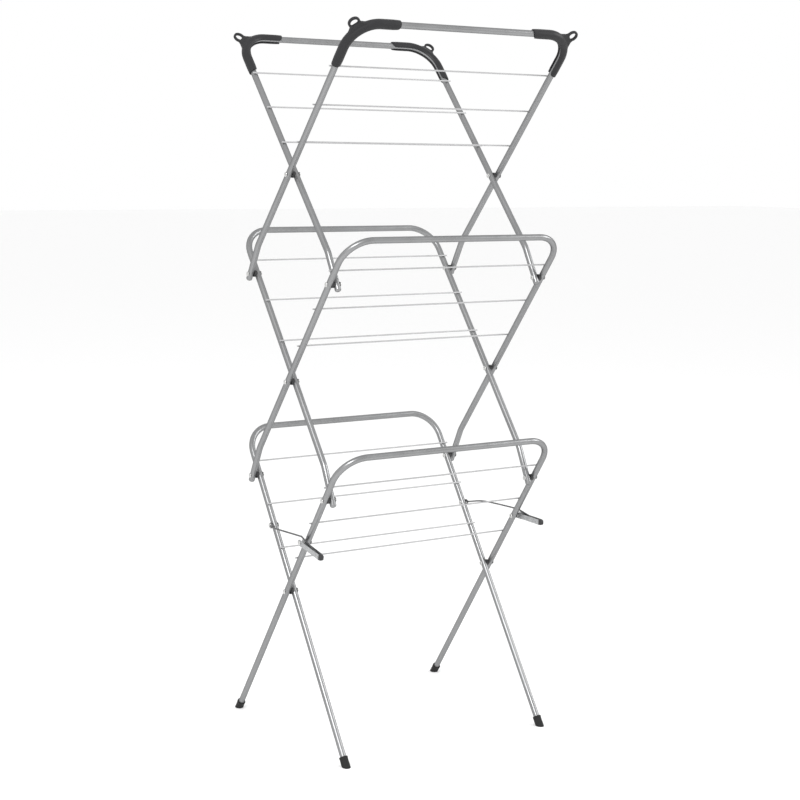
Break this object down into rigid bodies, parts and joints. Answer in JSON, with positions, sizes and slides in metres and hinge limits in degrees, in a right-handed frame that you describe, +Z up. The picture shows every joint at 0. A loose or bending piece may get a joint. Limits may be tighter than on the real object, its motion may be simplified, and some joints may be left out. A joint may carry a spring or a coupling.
{
  "type": "folding clothes drying rack",
  "caption": "Free-standing folding clothes airer: tiers of crossed U-shaped tube frames with drying lines, corner covers and over-centre lock stays.",
  "frame": {"origin": "on the floor, midway between the four soles, under the centre of the rack", "axes": "+X along the rails to the right, -Y the front, +Z up"},
  "size_m": [0.5198, 0.4864, 1.3652],
  "materials": {
    "silver_tube": "satin silver-grey coating",
    "pale_line": "satin light grey coating",
    "zinc_rivet": "zinc plated",
    "charcoal_plastic": "fine matt grain",
    "zinc_lever": "zinc plated pressing",
    "dark_wire": "dark drawn wire"
  },
  "bodies": {
    "lower_back": {"lower_back_frame": "silver_tube", "lower_back_line_1": "pale_line", "lower_back_line_2": "pale_line", "lower_back_line_3": "pale_line", "lower_cross_pivot_left": "zinc_rivet", "lower_cross_pivot_right": "zinc_rivet", "lower_back_joint_pivot_left": "zinc_rivet", "lower_back_joint_pivot_right": "zinc_rivet", "front_left_foot": "charcoal_plastic", "front_right_foot": "charcoal_plastic", "left_stay_rivet": "zinc_rivet", "right_stay_rivet": "zinc_rivet"},
    "lower_front": {"lower_front_frame": "silver_tube", "lower_front_line_1": "pale_line", "lower_front_line_2": "pale_line", "lower_front_line_3": "pale_line", "lower_front_joint_pivot_left": "zinc_rivet", "lower_front_joint_pivot_right": "zinc_rivet", "back_left_foot": "charcoal_plastic", "back_right_foot": "charcoal_plastic", "left_lever_rivet": "zinc_rivet", "right_lever_rivet": "zinc_rivet"},
    "middle_front": {"middle_front_frame": "silver_tube", "middle_front_line_1": "pale_line", "middle_front_line_2": "pale_line", "middle_front_line_3": "pale_line", "middle_front_joint_pivot_left": "zinc_rivet", "middle_front_joint_pivot_right": "zinc_rivet"},
    "middle_back": {"middle_back_frame": "silver_tube", "middle_back_line_1": "pale_line", "middle_back_line_2": "pale_line", "middle_back_line_3": "pale_line", "middle_cross_pivot_left": "zinc_rivet", "middle_cross_pivot_right": "zinc_rivet", "middle_back_joint_pivot_left": "zinc_rivet", "middle_back_joint_pivot_right": "zinc_rivet"},
    "top_front": {"top_front_frame": "silver_tube", "top_front_line_1": "pale_line", "top_front_line_2": "pale_line", "top_front_line_3": "pale_line", "front_left_corner_cover": "charcoal_plastic", "front_right_corner_cover": "charcoal_plastic"},
    "top_back": {"top_back_frame": "silver_tube", "top_back_line_1": "pale_line", "top_back_line_2": "pale_line", "top_back_line_3": "pale_line", "top_cross_pivot_left": "zinc_rivet", "top_cross_pivot_right": "zinc_rivet", "back_left_corner_cover": "charcoal_plastic", "back_right_corner_cover": "charcoal_plastic"},
    "left_stay": {"left_stay_wire": "dark_wire"},
    "right_stay": {"right_stay_wire": "dark_wire"},
    "left_lever": {"left_lock_lever": "zinc_lever", "left_lever_tip": "charcoal_plastic"},
    "right_lever": {"right_lock_lever": "zinc_lever", "right_lever_tip": "charcoal_plastic"}
  },
  "joints": [
    {"name": "main_fold", "type": "hinge", "parent": "lower_back", "child": "lower_front", "pos_m": [0, 0, 0.28965], "axis": [1, 0, 0], "range_deg": [0, 92]},
    {"name": "middle_front_fold", "type": "hinge", "parent": "lower_back", "child": "middle_front", "pos_m": [0, 0.14282, 0.49362], "axis": [1, 0, 0], "range_deg": [0, 92]},
    {"name": "middle_cross_fold", "type": "hinge", "parent": "middle_front", "child": "middle_back", "pos_m": [0, 0, 0.69759], "axis": [1, 0, 0], "range_deg": [-92, 0]},
    {"name": "top_front_fold", "type": "hinge", "parent": "middle_back", "child": "top_front", "pos_m": [0, 0.15384, 0.89338], "axis": [1, 0, 0], "range_deg": [0, 92]},
    {"name": "top_cross_fold", "type": "hinge", "parent": "top_front", "child": "top_back", "pos_m": [0, 0, 1.08917], "axis": [1, 0, 0], "range_deg": [-92, 0]},
    {"name": "left_stay_swing", "type": "hinge", "parent": "lower_back", "child": "left_stay", "pos_m": [0, 0.07944, 0.4031], "axis": [1, 0, 0], "range_deg": [0, 13.85]},
    {"name": "left_lever_swing", "type": "hinge", "parent": "lower_front", "child": "left_lever", "pos_m": [0, -0.07944, 0.4031], "axis": [1, 0, 0], "range_deg": [-179.45, 0]},
    {"name": "right_stay_swing", "type": "hinge", "parent": "lower_back", "child": "right_stay", "pos_m": [0, 0.07944, 0.4031], "axis": [1, 0, 0], "range_deg": [0, 23.05]},
    {"name": "right_lever_swing", "type": "hinge", "parent": "lower_front", "child": "right_lever", "pos_m": [0, -0.07944, 0.4031], "axis": [1, 0, 0], "range_deg": [-170.25, 0]}
  ],
  "couplings": [
    {"joint": "middle_front_fold", "follows": "main_fold", "ratio": 1},
    {"joint": "middle_cross_fold", "follows": "main_fold", "ratio": -1},
    {"joint": "top_front_fold", "follows": "main_fold", "ratio": 1},
    {"joint": "top_cross_fold", "follows": "main_fold", "ratio": -1},
    {"joint": "left_stay_swing", "follows": "main_fold", "ratio": 0.15},
    {"joint": "left_lever_swing", "follows": "main_fold", "ratio": -1.95},
    {"joint": "right_stay_swing", "follows": "main_fold", "ratio": 0.25},
    {"joint": "right_lever_swing", "follows": "main_fold", "ratio": -1.85}
  ]
}
